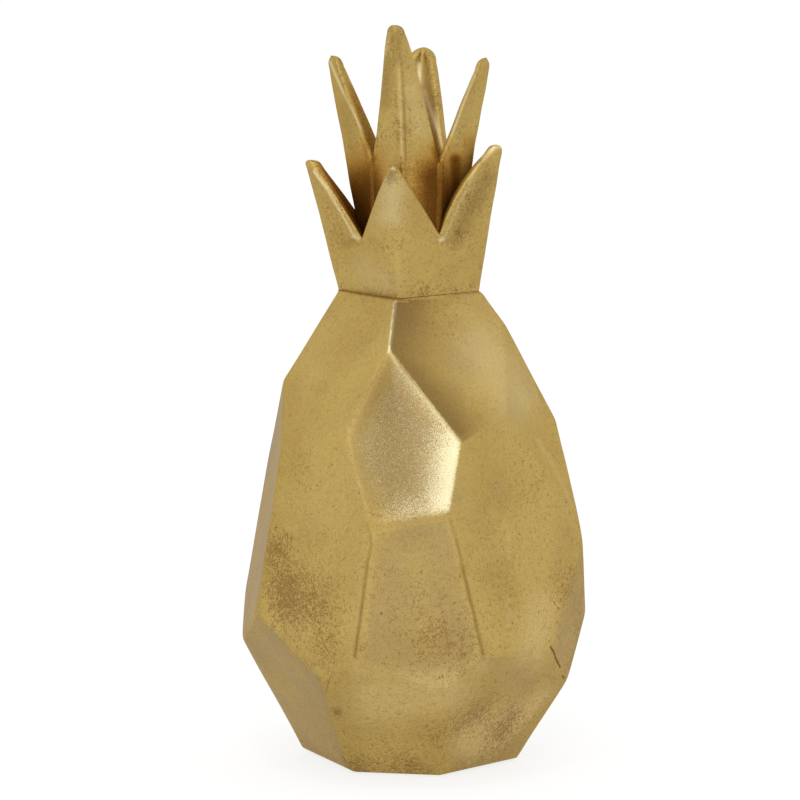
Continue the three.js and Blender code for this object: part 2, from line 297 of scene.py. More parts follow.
def smoothed(values, sigma):
    """Values smoothed over about sigma steps, with the ends kept in place."""
    reach = int(3 * sigma) + 1
    weights = np.exp(-0.5 * (np.arange(-reach, reach + 1) / sigma) ** 2)
    first = 2 * values[0] - values[reach:0:-1]
    last = 2 * values[-1] - values[-2:-reach - 2:-1]
    return np.convolve(np.concatenate([first, values, last]), weights / weights.sum(), "valid")


def swell(points, wavelength, seed, waves=28):
    """A smooth random height from about -1 to 1 at each point."""
    random = np.random.default_rng(seed)
    height = np.zeros(len(points))
    for _ in range(waves):
        direction = random.normal(size=3)
        direction /= np.linalg.norm(direction)
        pitch = wavelength * random.uniform(0.7, 1.6)
        height += np.sin(points @ direction * (2 * math.pi / pitch) + random.uniform(0, 2 * math.pi))
    return height / math.sqrt(waves)


def hollows(points, seed, wavelength, depth):
    """How far each point sinks in soft random hollows."""
    return (0.5 + 0.5 * np.clip(swell(points, wavelength, seed), -1, 1)) * depth


def new_piece(name, mesh, slot, *replaced):
    """A piece of the visual model with the finish of its slot, for the CAD nodes that it replaces."""
    piece = new_object(name, mesh)
    mesh.shade_smooth()
    mesh.materials.clear()
    mesh.materials.append(finishes[slot])
    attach(piece, "root")
    if replaced:
        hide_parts(*replaced)


def gilded(name, points, faces, looks, *replaced):
    """A piece in gold leaf, with its looks, kept from 0 to 1, as attributes of its points."""
    mesh = bpy.data.meshes.new(name)
    mesh.from_pydata(points.tolist(), [], faces)
    mesh.validate()
    for look, values in looks.items():
        data = mesh.attributes.new(look, "FLOAT", "POINT").data
        data.foreach_set("value", np.clip(values, 0.0, 1.0).astype(np.float32))
    new_piece(name, mesh, "gold_leaf", *replaced)


def sharp_reach(facing, room):
    """How far each ray goes to the nearest of the planes that it faces."""
    return np.where(facing > LEAST_FACING, room / np.maximum(facing, LEAST_FACING), np.inf).min(axis=-1)


def soft_reach(facing, room, softness, reach, rounds):
    """The same with the edges between the planes softened, by Newton's method from a first reach."""
    for _ in range(rounds):
        excess = (facing * reach[..., None] - room) / softness[..., None]
        peak = excess.max(axis=-1, keepdims=True)
        weight = np.exp(excess - peak)
        total = weight.sum(axis=-1)
        value = softness * (peak[..., 0] + np.log(total))
        reach = reach - value / ((weight * facing).sum(axis=-1) / total)
    return reach


def level_reach(angles, heights, planes, softness, moved_in=0.0):
    """How far from the axis the planes, moved in by a distance, are at angles and heights."""
    normals, distances = planes
    rays = level_rays(angles)
    facing = rays[:, :1] * normals[:, 0] + rays[:, 1:2] * normals[:, 1]
    room = distances - moved_in - heights[..., None] * normals[:, 2]
    return soft_reach(facing, room, softness, sharp_reach(facing, room), 8)


# The fruit
facet_normals, facet_distances = outer_planes("fruit_body", FACET_LEAST_AREA)
is_side = abs(facet_normals[:, 2]) < LEVEL_NORMAL
fruit_low, fruit_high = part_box("fruit_body")
plug_low, plug_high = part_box("base_plug")
felt_low, felt_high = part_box("felt_pad")


def on_fruit(pixel):
    """The point of the fruit that a pixel of the photograph shows, and its facet."""
    origin, ray = np.array(camera.location), np.array(pixel_ray(*pixel))
    facing = facet_normals @ ray
    reach = (facet_distances - facet_normals @ origin) / facing
    reach[facing >= 0] = -np.inf
    return origin + ray * reach.max(), int(reach.argmax())


def fruit_share(heights):
    """The heights as shares of the fruit's height."""
    return (heights - fruit_low.z) / (fruit_high.z - fruit_low.z)


def soft_surface(rays):
    """How far each ray goes from the fruit's core to its softened surface."""
    facing = rays @ facet_normals.T
    room = facet_distances - facet_normals @ CORE
    reach = sharp_reach(facing, room)
    points = CORE + rays * reach[:, None]
    share = fruit_share(points[:, 2])
    softness = between(FOOT_SOFTNESS, TOP_SOFTNESS, smoothstep(*BELLY_ZONE, share))
    softness += (NECK_SOFTNESS - TOP_SOFTNESS) * smoothstep(*NECK_ZONE, share)
    softness += (BASE_SOFTNESS - softness) * (1 - smoothstep(*BASE_ZONE, share))
    for *line, extra in SOFT_EDGES:
        softness += (points[:, 1] < 0) * extra * soft_line(points, *line)
    room = room + FLATS_OUT * softness[:, None] * is_side
    return soft_reach(facing, room, softness, reach, 12)


def in_facet(points):
    """How far each point of the fruit is from the edge of its facet, and which facet that is."""
    gaps = facet_distances - points @ facet_normals.T
    own = gaps.argmin(axis=1)
    cosines = facet_normals[own] @ facet_normals.T
    reach = (gaps - gaps.min(axis=1, keepdims=True)) / np.sqrt(np.maximum(1 - cosines**2, 1e-4))
    reach[np.arange(len(points)), own] = np.inf
    return reach.min(axis=1), own


collar_normals, collar_distances = outer_planes("crown_collar", COLLAR_LEAST_AREA)
upright = abs(collar_normals[:, 2]) < UPRIGHT_NORMAL
collar_planes = collar_normals[upright], collar_distances[upright]
collar_foot = fruit_high.z + COLLAR_LIFT


def apart(angles, azimuth):
    """How far the angles are from an azimuth, in degrees."""
    return abs((np.degrees(angles) + 90 - azimuth + 180) % 360 - 180)


def fold_softness(angles, heights):
    """How soft the folds of the outer leaves are at each angle and height."""
    blunt = np.max([bell(apart(angles, azimuth), FOLD_WIDTH) for azimuth in BLUNT_FOLDS], axis=0)
    risen = smoothstep(collar_foot, collar_foot + FOLD_RISE, heights)
    return (FOLD_SOFTNESS + BLUNT_SOFTNESS * blunt) * (0.3 + 0.7 * risen)


def spigot():
    """The radius and the foot of the spigot under the collar."""
    points = node_points("crown_collar")
    points = points[points[:, 2] < fruit_high.z - 1 * MM]
    return lengths(points[:, :2]).max(), points[:, 2].min()


def felt_edge(angles):
    """How far the felt's outline is from the axis at each angle."""
    points = node_points("felt_pad")
    rim = by_angle(points[points[:, 2] < felt_low.z + LAYER][:, :2])
    following = np.roll(rim, -1, axis=0)
    keep = lengths(following - rim) > HULL_TOLERANCE
    rim, side = rim[keep], (following - rim)[keep]
    normals = unit(np.stack([side[:, 1], -side[:, 0]], axis=1))
    return sharp_reach(level_rays(angles) @ normals.T, (normals * rim).sum(axis=1))


# How much brown ground shows all over the fruit, below and above the belly, and along its foot and neck
WEAR_BELOW, WEAR_ABOVE = 0.09, 0.01
WEAR_HEIGHTS = 75 * MM, 110 * MM
FOOT_WEAR, NECK_WEAR = 0.18, 0.15
END_WEAR_REACH = 5 * MM

# Worn places of the fruit: a pixel of the photograph, how wide in pixels, and how worn
WORN_PLACES = [
    ((278, 548), 20, 0.42), ((283, 595), 28, 0.45), ((315, 605), 38, 0.3), ((325, 650), 22, 0.22),
    ((450, 645), 34, 0.28), ((410, 610), 34, 0.1), ((505, 728), 30, 0.47), ((478, 712), 28, 0.35),
    ((445, 735), 26, 0.25), ((375, 745), 34, 0.1), ((545, 735), 16, 0.4), ((336, 712), 8, 0.5),
    ((405, 762), 24, 0.22), ((350, 765), 20, 0.3), ((450, 330), 24, 0.15), ((535, 470), 26, 0.16),
    ((505, 500), 34, 0.1), ((500, 580), 34, 0.12), ((565, 590), 26, 0.3), ((570, 660), 20, 0.2),
    ((300, 470), 30, 0.15),
]

# Random worn places on the sides and the back: how many, how wide in millimetres, and how worn
HIDDEN_WORN_PLACES = 26
HIDDEN_WORN_WIDTHS = 8, 18
HIDDEN_WORN_AMOUNTS = 0.08, 0.24

# Facets of the fruit with dust and a painted reflection tone: a pixel on each, how strong it is, and over what
# length it ends at its edges
FACETS_OF_DUST_AND_PAINTED_REFLECTION = [
    ((400, 440), 0.3, 8 * MM), ((256, 560), 0.75, 1 * MM), ((285, 695), 0.6, 1 * MM),
    ((400, 600), 0.35, 2 * MM), ((577, 600), 0.4, 2 * MM), ((545, 690), 0.25, 2 * MM),
    ((500, 690), 0.12, 6 * MM),
]

# Lines of painted shade on a facet, beside the ridge and over the bright facet away from its highlight: a
# pixel on the facet, and the line
PAINTED_SHADE_LINES = [
    ((440, 360), (399, 296), (392, 352), 34, 0.62), ((440, 360), (392, 352), (455, 430), 22, 0.6),
    ((400, 440), (388, 385), (398, 480), 40, 0.47), ((400, 440), (385, 525), (440, 520), 12, 0.2),
]

# Lines of the bright facet with a painted highlight in glinting flecks, and the painted glints all over it
PAINTED_GLINT_LINES = [
    ((459, 446), (449, 500), 25, 0.62), ((446, 500), (412, 508), 14, 0.22),
    ((415, 378), (460, 440), 9, 0.4), ((391, 358), (400, 372), 9, 0.25),
]
PAINTED_GLINTS_ALL_OVER = 0.16

# Painted highlights on the fruit: along the ridge and the bright facet's top edge, and lighter patches on the
# right shoulder
PAINTED_HIGHLIGHT_LINES = [
    ((395.4, 302), (389, 352), 1.5, 0.95), ((389.5, 352), (398, 366), 1.6, 0.6),
    ((398, 366), (461, 441), 1.4, 0.35), ((480, 345), (520, 395), 26, 0.18),
    ((505, 405), (520, 400), 18, 0.12),
]


def fruit_wear(points):
    """How much of the brown ground shows at each point of the fruit."""
    random = np.random.default_rng(11)
    wear = between(WEAR_BELOW, WEAR_ABOVE, smoothstep(*WEAR_HEIGHTS, points[:, 2]))
    for pixel, width, amount in WORN_PLACES:
        wear += amount * bell(lengths(points - on_fruit(pixel)[0]) * PIXELS_PER_METRE, width)
    for _ in range(HIDDEN_WORN_PLACES):
        side = np.array(heading(random.uniform(90, 270), random.uniform(-30, 50)))
        place = CORE + side * soft_surface(side[None])[0]
        width = random.uniform(*HIDDEN_WORN_WIDTHS) * MM
        wear += random.uniform(*HIDDEN_WORN_AMOUNTS) * bell(lengths(points - place), width)
    wear += FOOT_WEAR * bell(points[:, 2] - fruit_low.z, END_WEAR_REACH)
    return wear + NECK_WEAR * bell(fruit_high.z - points[:, 2], END_WEAR_REACH)


def fruit_painted_shade(points):
    """How much painted shade lies on each point of the fruit."""
    facet = in_facet(points)[1]
    lines = [(facet == on_fruit(pixel)[1]) * drawn(points, [line]) for pixel, *line in PAINTED_SHADE_LINES]
    return np.max(lines, axis=0)


def fruit_dust_and_painted_reflection(points):
    """How much dust and painted reflection tone lies on each point of the fruit."""
    edge, facet = in_facet(points)
    dust_and_painted_reflection = np.zeros(len(points))
    for pixel, amount, fade in FACETS_OF_DUST_AND_PAINTED_REFLECTION:
        dust_and_painted_reflection += amount * (facet == on_fruit(pixel)[1]) * smoothstep(-0.2 * fade, fade, edge)
    return dust_and_painted_reflection + 0.12 * swell(points, 18 * MM, 31)


def fruit_painted_glints(points):
    """How much painted highlight shows as glinting flecks at each point of the fruit."""

    def from_side(corners):
        return np.minimum(pixels_from(points, BRIGHT_TOP, corners[0]), pixels_from(points, *corners))

    bright = in_facet(points)[1] == on_fruit(BRIGHT_FACET)[1]
    from_foot = pixels_from(points, BRIGHT_LEFT[1], BRIGHT_RIGHT[1])
    fade = smoothstep(0, 26, from_side(BRIGHT_LEFT)) * smoothstep(-1, 3, from_side(BRIGHT_RIGHT))
    return bright * fade * smoothstep(0, 9, from_foot) * (PAINTED_GLINTS_ALL_OVER + drawn(points, PAINTED_GLINT_LINES))


def fruit_side(angles, height):
    """How far from the axis the fruit's sides are at each angle, at one height."""
    level = np.full((1, len(angles)), height)
    planes = facet_normals[is_side], facet_distances[is_side]
    return level_reach(angles, level, planes, np.full_like(level, RIM_SOFTNESS))[0]


def fruit_rows(angles, bore, recess):
    """The fruit's rings, from the bore over the edges of the neck and the base to the recess."""
    above, below = fruit_high.z - CORE[2], CORE[2] - fruit_low.z
    edges = [
        np.full(len(angles), math.atan2(bore, above)),
        np.arctan2(fruit_side(angles, fruit_high.z), above),
        math.pi - np.arctan2(fruit_side(angles, fruit_low.z), below),
        math.pi - np.arctan2(recess, below),
    ]
    steps = np.linspace(0, 1, NECK_ROWS), np.linspace(1, 2, FRUIT_ROWS)[1:], np.linspace(2, 3, BASE_ROWS)[1:]
    rows = []
    for step in np.concatenate(steps):
        zone = min(int(step), 2)
        polar = between(edges[zone], edges[zone + 1], step - zone)
        rays = np.column_stack([level_rays(angles) * np.sin(polar)[:, None], np.cos(polar)])
        rows.append(CORE + rays * soft_surface(rays)[:, None])
    return np.array(rows)


def widened(rows, angles, bore):
    """The fruit's rings, moved out at the neck to where they carry the collar's foot."""
    neck = fruit_side(angles, fruit_high.z)
    foot = np.full((1, len(angles)), collar_foot)
    collar = np.maximum(level_reach(angles, foot, collar_planes, fold_softness(angles, foot)), neck)
    radius = lengths(rows[..., :2])
    on_top = bore + (radius - bore) * (collar - bore) / (neck - bore)
    on_side = (radius + collar + np.sqrt((radius - collar) ** 2 + NECK_EASE**2)) / 2
    wider = between(on_top, on_side, smoothstep(0.0, 0.5 * MM, fruit_high.z - rows[..., 2]))
    rows[..., :2] *= np.where(rows[..., 2] > CORE[2], wider / radius, 1.0)[..., None]
    return rows


def dished(points):
    """The fruit's points, moved in where its facets are hollow."""
    outward = unit(points - CORE)
    from_edge, facet = in_facet(points)
    upper = smoothstep(*DISH_ZONE, fruit_share(points[:, 2]))
    dish = between(DISH_BELOW, DISH_ABOVE, upper) * (1 - np.exp(-from_edge / DISH_REACH))
    bright = facet == on_fruit(BRIGHT_FACET)[1]
    dish[bright] = BRIGHT_DISH * (1 - np.exp(-from_edge[bright] / BRIGHT_DISH_REACH))
    side = smoothstep(fruit_low.z, fruit_low.z + 6 * MM, points[:, 2])
    side *= smoothstep(fruit_high.z, fruit_high.z - 4 * MM, points[:, 2])
    return points - outward * ((hollows(points, 3, *FRUIT_HOLLOWS) + dish) * side)[:, None]


def base_opening(angles, recess):
    """The rings of the recess for the felt, and of the seat of the base plug."""
    plug = node_points("base_plug")
    lip, shank = plug[plug[:, 2] < plug_low.z + LAYER], plug[plug[:, 2] > plug_high.z - LAYER]
    lip, shank = (lengths(part[:, :2]).max() + SOCKET_GAP for part in (lip, shank))
    lip_top = np.unique(plug[:, 2].round(5))[1]
    rings = (recess, felt_high.z), (lip, felt_high.z), (lip, lip_top), (shank, lip_top), (shank, plug_high.z)
    return [level_ring(angles, radius, height + SOCKET_GAP) for radius, height in rings]


def fruit_piece():
    angles = np.linspace(0, 2 * math.pi, FRUIT_COLUMNS, endpoint=False)
    spigot_radius, spigot_foot = spigot()
    bore, bore_floor = spigot_radius + SOCKET_GAP, spigot_foot - SOCKET_GAP
    recess = felt_edge(angles) + SOCKET_GAP
    rows = widened(fruit_rows(angles, bore, recess), angles, bore)
    rows = dished(rows.reshape(-1, 3)).reshape(rows.shape)
    rows = np.concatenate([[level_ring(angles, bore, bore_floor)], rows, base_opening(angles, recess)])
    points, faces = tube(rows, (0, 0, bore_floor), (0, 0, plug_high.z + SOCKET_GAP))
    looks = {
        "bole": fruit_wear(points),
        "painted_shade_and_stain": fruit_painted_shade(points),
        "dust_and_painted_reflection": fruit_dust_and_painted_reflection(points),
        "painted_glints": fruit_painted_glints(points),
        # Painted highlights, on the front only
        "painted_highlight": (points[:, 1] < 0) * drawn(points, PAINTED_HIGHLIGHT_LINES),
    }
    gilded("fruit_skin", points, faces, looks, "fruit_body")


# The crown's heights above the fruit
COLLAR_FLOOR = 5.3 * MM
LEAF_FOOT = 5.6 * MM

# How deep the grooves beside each inner leaf's ridge are, and how much glaze with painted shade lies on its
# face, joints and inside
LEAF_GROOVES = {"front": 0.12 * MM, "right": 0.06 * MM, "back": 0.08 * MM, "left": 0.08 * MM}
FACE_GLAZE_AND_SHADE = {"front": 0.2, "right": 0.55, "back": 0.5, "left": 0.75}
JOINT_GLAZE_AND_SHADE = 0.95
INSIDE_GLAZE_AND_SHADE = {"front": 0.3, "right": 0.12, "back": 0.0, "left": 0.12}

# The rounded tips of the outer leaves: azimuth, height, how far the face bends in, and over what length
OUTER_TIPS = [
    (-13.0, 42.6 * MM, 1.4 * MM, 3.0 * MM),
    (80.0, 46.8 * MM, 1.7 * MM, 3.5 * MM),
    (172.0, 44.0 * MM, 1.4 * MM, 3.0 * MM),
    (-94.0, 41.2 * MM, 0.3 * MM, 2.5 * MM),
]
RIM_CENTRE = 0.36
RIM_ROUNDING = 1.4 * MM

# Dents in the outer leaves: two pixels of the photograph, how wide and how deep
COLLAR_DENTS = [
    ((487, 163), (456, 238), 13, 0.55 * MM),
    ((310, 176), (345, 245), 12, -0.15 * MM),
]

# Stained lines of the crown, painted shade along its dents, creases and notches, painted highlights along its
# edges, and glaze with painted shade in its hollows
COLLAR_STAINS = [
    ((391, 174), (391, 180), 8, 0.55), ((340, 200), (330, 250), 16, 0.15),
    ((392, 288), (392, 292), 12, 0.15), ((455, 240), (470, 200), 12, 0.2),
    ((345, 290), (475, 290), 7, 0.1),
]
# Painted shade along the dent of the right outer leaf, the crease at the front fold and beside the left notch
COLLAR_PAINTED_SHADE = [
    ((488, 176), (456, 240), 9, 0.38), ((394, 272), (394, 298), 3.5, 0.08),
    ((345, 245), (357, 240), 4, 0.25),
]
# Painted highlights along the outer leaves' rims and notches, and lighter patches on the front leaf
COLLAR_PAINTED_HIGHLIGHTS = [
    ((308, 163), (327, 189), 1.5, 0.6), ((327, 189), (353, 234), 1.3, 0.45),
    ((482, 157), (494, 147), 2.0, 0.65), ((494, 147), (501, 147), 1.8, 0.4),
    ((480, 160), (444, 238), 1.2, 0.2), ((354, 236), (358, 239), 2.0, 0.6),
    ((440, 240), (443, 239), 2.0, 0.6), ((388, 169), (394, 169), 1.6, 0.3),
    ((391, 188), (391, 215), 14, 0.24), ((365, 270), (385, 285), 16, 0.12),
]
# Glaze with painted shade, darkest in the hollows between the leaves and the collar
LEAF_GLAZE_AND_SHADE_LINES = {
    "front": [
        ((441, 150), (440, 175), 12, 0.85), ((438, 180), (438, 240), 27, 1.0),
        ((370, 160), (366, 240), 9, 0.8),
    ],
    "right": [
        ((455, 160), (452, 230), 9, 0.85), ((474, 158), (470, 200), 12, 0.4),
        ((470, 142), (464, 180), 11, 0.34),
    ],
    "back": [((445, 150), (445, 170), 8, 0.5), ((421, 85), (440, 148), 3, 0.4)],
    "left": [
        ((353, 172), (362, 240), 18, 0.5), ((366, 140), (368, 200), 6, 0.5),
        ((352, 88), (373, 145), 6, 0.36),
    ],
}
# Painted shade in the front leaf's groove and over parts of the leaves, with brown stains at the front leaf's
# tip and edge, mottling and a dark dot
LEAF_STAINS_AND_PAINTED_SHADE = {
    "front": [
        ((402, 62), (404, 100), 1.3, 0.3), ((404, 100), (406, 160), 1.4, 0.42),
        ((397, 34), (398, 62), 7, 0.28), ((389, 60), (384, 104), 6, 0.28),
    ],
    "right": [((476.2, 73.2), (476.6, 73.6), 1.0, 0.9), ((474, 80), (462, 125), 9, 0.12)],
    "back": [((428, 70), (434, 110), 5, 0.15)],
    "left": [((343, 105), (352, 148), 6, 0.15)],
}
# Painted highlights along the inner leaves' edges and the back leaf's fold
LEAF_PAINTED_HIGHLIGHTS = {
    "front": [
        ((389, 33), (384, 60), 1.4, 0.2), ((399, 62), (402, 155), 1.2, 0.2),
        ((412, 90), (420, 130), 8, 0.12),
    ],
    "right": [((476, 68), (452, 135), 1.4, 0.3)],
    "back": [
        ((418, 64), (422, 92), 2.4, 0.5), ((423, 92), (437, 130), 2.8, 1.0),
        ((437, 130), (446, 158), 2.0, 0.9),
    ],
    "left": [((330, 62), (343, 92), 1.3, 0.5), ((343, 92), (362, 130), 1.2, 0.4)],
}


def axes(azimuth):
    """The directions across and outward at an azimuth."""
    return np.array(heading(azimuth + 90)), np.array(heading(azimuth))


def cad_leaf(side, heights):
    """A CAD leaf's section at each height: ridge radius, edge radius, half width, and middle."""
    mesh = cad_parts["inner_leaf_" + side].data
    points = mesh_points(mesh)
    across, outward = axes(LEAF_AZIMUTHS[side])
    low, high = points[np.array([edge.vertices for edge in mesh.edges]).T]
    table = []
    for height in heights:
        over = (low[:, 2] - height) * (high[:, 2] - height) < 0
        share = (height - low[over, 2]) / (high[over, 2] - low[over, 2])
        cut = between(low[over], high[over], share[:, None])
        x, radius = cut @ across, cut @ outward
        table.append((radius.max(), radius[x.argmax()], (x.max() - x.min()) / 2, (x.max() + x.min()) / 2))
    return np.array(table).T


def leaf_ring(ridge, edge, width, thickness, half_edge, groove):
    """The section of a folded leaf, as points (x, radius) round it."""
    band = min(RIDGE_HALF_WIDTH, 0.45 * width)
    slope = max((ridge - edge) / (width - band), 0.05)
    stretch = math.hypot(1.0, slope)
    normal = np.array([slope, 1.0]) / stretch
    along = np.array([1.0, -slope]) / stretch
    centre_x = width - half_edge
    centre = np.array([centre_x, ridge + slope * band - slope * centre_x - half_edge * stretch])
    steps = np.concatenate([np.linspace(0, 0.2, 11), np.linspace(0.2, 1, 15)[1:]])
    x = steps * (centre + half_edge * normal)[0]
    outer = ridge - slope * (np.sqrt(x**2 + band**2) - band)
    outer = outer - groove * bell(x - 0.95 * band, 0.26 * band)
    inner_end = centre - half_edge * normal
    x_inner = steps * inner_end[0]
    valley = min(VALLEY_HALF_WIDTH, 0.8 * width)
    inner_ridge = ridge - thickness
    inner_slope = (inner_ridge - inner_end[1]) / (math.hypot(inner_end[0], valley) - valley)
    inner = inner_ridge - inner_slope * (np.sqrt(x_inner**2 + valley**2) - valley)
    turns = np.linspace(0, math.pi, 12)[1:-1, None]
    cap = centre + half_edge * (np.cos(turns) * normal + np.sin(turns) * along)
    right = np.vstack([np.stack([x, outer], 1), cap, np.stack([x_inner, inner], 1)[::-1]])
    left = right[-2:0:-1] * (-1.0, 1.0)
    return np.vstack([right, left])


def leaf_rows(side, foot, top, heights, section):
    """An inner leaf's rings from its tip down to its foot, from its section at each height."""
    across, outward = axes(LEAF_AZIMUTHS[side])
    width, drops = section[2], top - heights
    cap = drops[width > drops].max()
    cap_width = np.interp(top - cap, heights, width)
    turns = np.linspace(0, math.pi / 2, LEAF_CAP_ROWS + 1)[1:]
    blade = np.linspace(cap, top - foot, LEAF_ROWS + 1)[1:]
    rows = []
    for drop in np.concatenate([cap * (1 - np.cos(turns)), blade]):
        height = top - drop
        r, e, w, m = (np.interp(height, heights, values) for values in section)
        fold = (r - e) / w
        if drop < cap:
            w = cap_width * round_end(drop, cap)
        thin = round_end(drop, TIP_ROUNDING[side])
        thickness = min(RIDGE_THICKNESS[side], 0.8 * w + 0.3 * MM)
        half_edge = min(LEAF_EDGES[side], 0.42 * w) * thin
        r -= thickness * (1 - thin) / 2
        groove = LEAF_GROOVES[side] * min(1.0, drop / (8 * MM))
        ring = leaf_ring(r, r - fold * w, w, thickness * thin, half_edge, groove)
        rows.append(np.outer(ring[:, 0] + m, across) + np.outer(ring[:, 1], outward) + (0, 0, height))
    return np.array(rows)


def crown_dirt_and_shade(points):
    """How deep in the crown each point is, where dirt gathers and painted shade darkens it, from 0 to 1."""
    radius = lengths(points[:, :2])
    height = points[:, 2] - fruit_high.z
    return smoothstep(55 * MM, 30 * MM, height + 0.5 * (radius - 16 * MM))


def leaf_looks(side, points, heights, section):
    """The stains, glaze with painted shade, painted shade and painted highlights of an inner leaf."""
    across, outward = axes(LEAF_AZIMUTHS[side])
    crest, edge, width, middle_x = (np.interp(points[:, 2], heights, values) for values in section)
    x = abs(points @ across - middle_x)
    radius = points @ outward
    dirt_and_shade = crown_dirt_and_shade(points)
    inside = smoothstep(1.5 * MM, 3.2 * MM, crest - radius - x * (crest - edge) / width)
    # Painted shade in the grooves beside the ridge
    beside_ridge = bell(x - 1.15 * MM, 0.45 * MM) + 0.3 * bell(x, 1.2 * MM)
    beside_ridge *= (radius > crest - 2.2 * MM) * LEAF_GROOVES[side] / (0.12 * MM)
    joint = smoothstep(0.25, 0.95, x / width)
    glaze_and_shade = dirt_and_shade * between(FACE_GLAZE_AND_SHADE[side], JOINT_GLAZE_AND_SHADE, joint)
    glaze_and_shade = np.maximum(glaze_and_shade, drawn(points, LEAF_GLAZE_AND_SHADE_LINES[side]))
    stain = 0.1 + 0.1 * swell(points, 14 * MM, 29)
    return {
        # More brown ground deep in the crown, on the inside and beside the ridge, partly painted shade
        "bole": stain + 0.2 * dirt_and_shade + 0.1 * inside + 0.1 * beside_ridge,
        "glaze_and_painted_shade": glaze_and_shade + INSIDE_GLAZE_AND_SHADE[side] * inside + 0.14 * beside_ridge,
        "painted_shade_and_stain": drawn(points, LEAF_STAINS_AND_PAINTED_SHADE[side]),
        "painted_highlight": drawn(points, LEAF_PAINTED_HIGHLIGHTS[side]),
    }


def leaf_piece(side):
    node = "inner_leaf_" + side
    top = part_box(node)[1].z
    foot = fruit_high.z + LEAF_FOOT
    heights = np.arange(foot + 0.05 * MM, top, 0.1 * MM)
    section = [smoothed(values, 9) for values in cad_leaf(side, heights)]
    rows = leaf_rows(side, foot, top, heights, section)
    tip = rows[0].mean(axis=0)
    tip[2] = top
    points, faces = tube(rows, tip, rows[-1].mean(axis=0))
    bumps = swell(points, 12 * MM, 17) * smoothstep(0, 6 * MM, top - points[:, 2])
    points = points + np.outer(bumps, axes(LEAF_AZIMUTHS[side])[1] * 0.1 * MM)
    gilded("leaf_" + side, points, faces, leaf_looks(side, points, heights, section), node)


def joint_piece():
    """The four beads that cover the joints between the inner leaves."""
    foot = fruit_high.z + LEAF_FOOT
    shank = np.array([0.0, 14.4, 28.8, 36.0]) * MM
    joints = np.array([0.8, 0.945, 0.99, 1.0]) * 15.4 * MM
    turns = np.linspace(0, 2 * math.pi, 24, endpoint=False)
    cos, sin = np.cos(turns), np.sin(turns)
    points, faces = [], []
    for azimuth in JOINT_AZIMUTHS:
        across, outward = axes(azimuth)
        rows = []
        for height in np.linspace(36.6, 0.2, 70) * MM:
            full = round_end(JOINT_TOP - height, 0.9 * MM)
            joint = np.interp(height, shank, joints) - 0.75 * MM
            wobble = 0.1 * MM * math.sin(height / (2.3 * MM) + azimuth)
            x = (JOINT_HALF_WIDTH + wobble) * full * np.sign(cos) * abs(cos) ** 0.7
            depth = joint + JOINT_HALF_DEPTH * full * np.sign(sin) * abs(sin) ** 0.8
            rows.append(np.outer(x, across) + np.outer(depth, outward) + (0, 0, foot + height))
        rows = np.array(rows)[:, ::-1]
        top, base = rows[0].mean(axis=0) + (0, 0, 0.05 * MM), rows[-1].mean(axis=0)
        bead_points, bead_faces = tube(rows, top, base)
        first = sum(map(len, points))
        faces += [[first + v for v in face] for face in bead_faces]
        points.append(bead_points)
    points = np.vstack(points)
    # The beads' brown filler, with glaze and painted shade deeper in the crown
    looks = {"bole": 0.3 + 0.15 * swell(points, 5 * MM, 23), "glaze_and_painted_shade": 0.35 + 0.45 * crown_dirt_and_shade(points)}
    gilded("leaf_joints", points, faces, looks)


def collar_outline():
    """The edge of the outer leaves' faces, as evenly spaced points round the crown."""
    points = node_points("crown_collar")
    normals, distances = collar_planes
    on_face = abs(points @ normals.T - distances).min(axis=1) < PLANE_TOLERANCE
    rim = by_angle(points[on_face & (points[:, 2] > fruit_high.z + 5 * MM)])
    rim = rim[lengths(rim - np.roll(rim, 1, axis=0)) > PLANE_TOLERANCE]
    closed = np.vstack([rim, rim[:1]])
    length = np.concatenate([[0], np.cumsum(lengths(np.diff(closed, axis=0)))])
    even = np.arange(0, length[-1], RIM_STEP)
    fine = np.stack([np.interp(even, length, closed[:, i]) for i in range(3)], axis=1)
    reach = int(3 * RIM_SMOOTHING / RIM_STEP)
    weights = np.exp(-0.5 * (np.arange(-reach, reach + 1) * RIM_STEP / RIM_SMOOTHING) ** 2)
    padded = np.vstack([fine[-reach:], fine, fine[:reach]])
    fine = np.stack([np.convolve(padded[:, i], weights / weights.sum(), "valid") for i in range(3)], axis=1)
    return fine[np.linspace(0, len(fine), COLLAR_COLUMNS, endpoint=False).astype(int)]


def collar_skin(angles, heights, moved_in):
    """Points of the collar's wall, moved in by a distance, at each angle and height."""
    softness = fold_softness(angles, heights) + (LINING_SOFTNESS if moved_in else 0.0)
    reach = level_reach(angles, heights, collar_planes, softness, moved_in)
    for azimuth, top, curl, length in OUTER_TIPS:
        bend = 0.0 if moved_in else 1 - round_end(fruit_high.z + top - heights, length)
        reach = reach - curl * bend * bell(apart(angles, azimuth), 22)
    return np.concatenate([level_rays(angles) * reach[..., None], heights[..., None]], axis=-1)


def from_outline(points, outline):
    """How far each point of the collar's face is from the outline of its leaves."""
    nearest = np.full(points.shape[:2], np.inf)
    for offset in range(-75, 75):
        start, end = np.roll(outline, offset, axis=0), np.roll(outline, offset - 1, axis=0)
        along = end - start
        share = ((points - start) * along).sum(-1) / np.maximum((along**2).sum(-1), 1e-12)
        gap = points - start - np.clip(share, 0, 1)[..., None] * along
        nearest = np.minimum(nearest, lengths(gap))
    return nearest


def dented(rows, rim_heights):
    """The collar's outer rings, moved in where its leaves are hollow or dented."""
    points = rows.reshape(-1, 3)
    radial = unit(points * (1, 1, 0))
    depth = hollows(points, 5, *COLLAR_HOLLOWS)
    for *line, deep in COLLAR_DENTS:
        depth += deep * (points[:, 1] < 0) * soft_line(points, *line)
    depth *= smoothstep(collar_foot, collar_foot + 3 * MM, points[:, 2])
    depth *= smoothstep(0, 2.5 * MM, np.tile(rim_heights, len(rows)) - points[:, 2])
    return (points - radial * depth[:, None]).reshape(rows.shape)


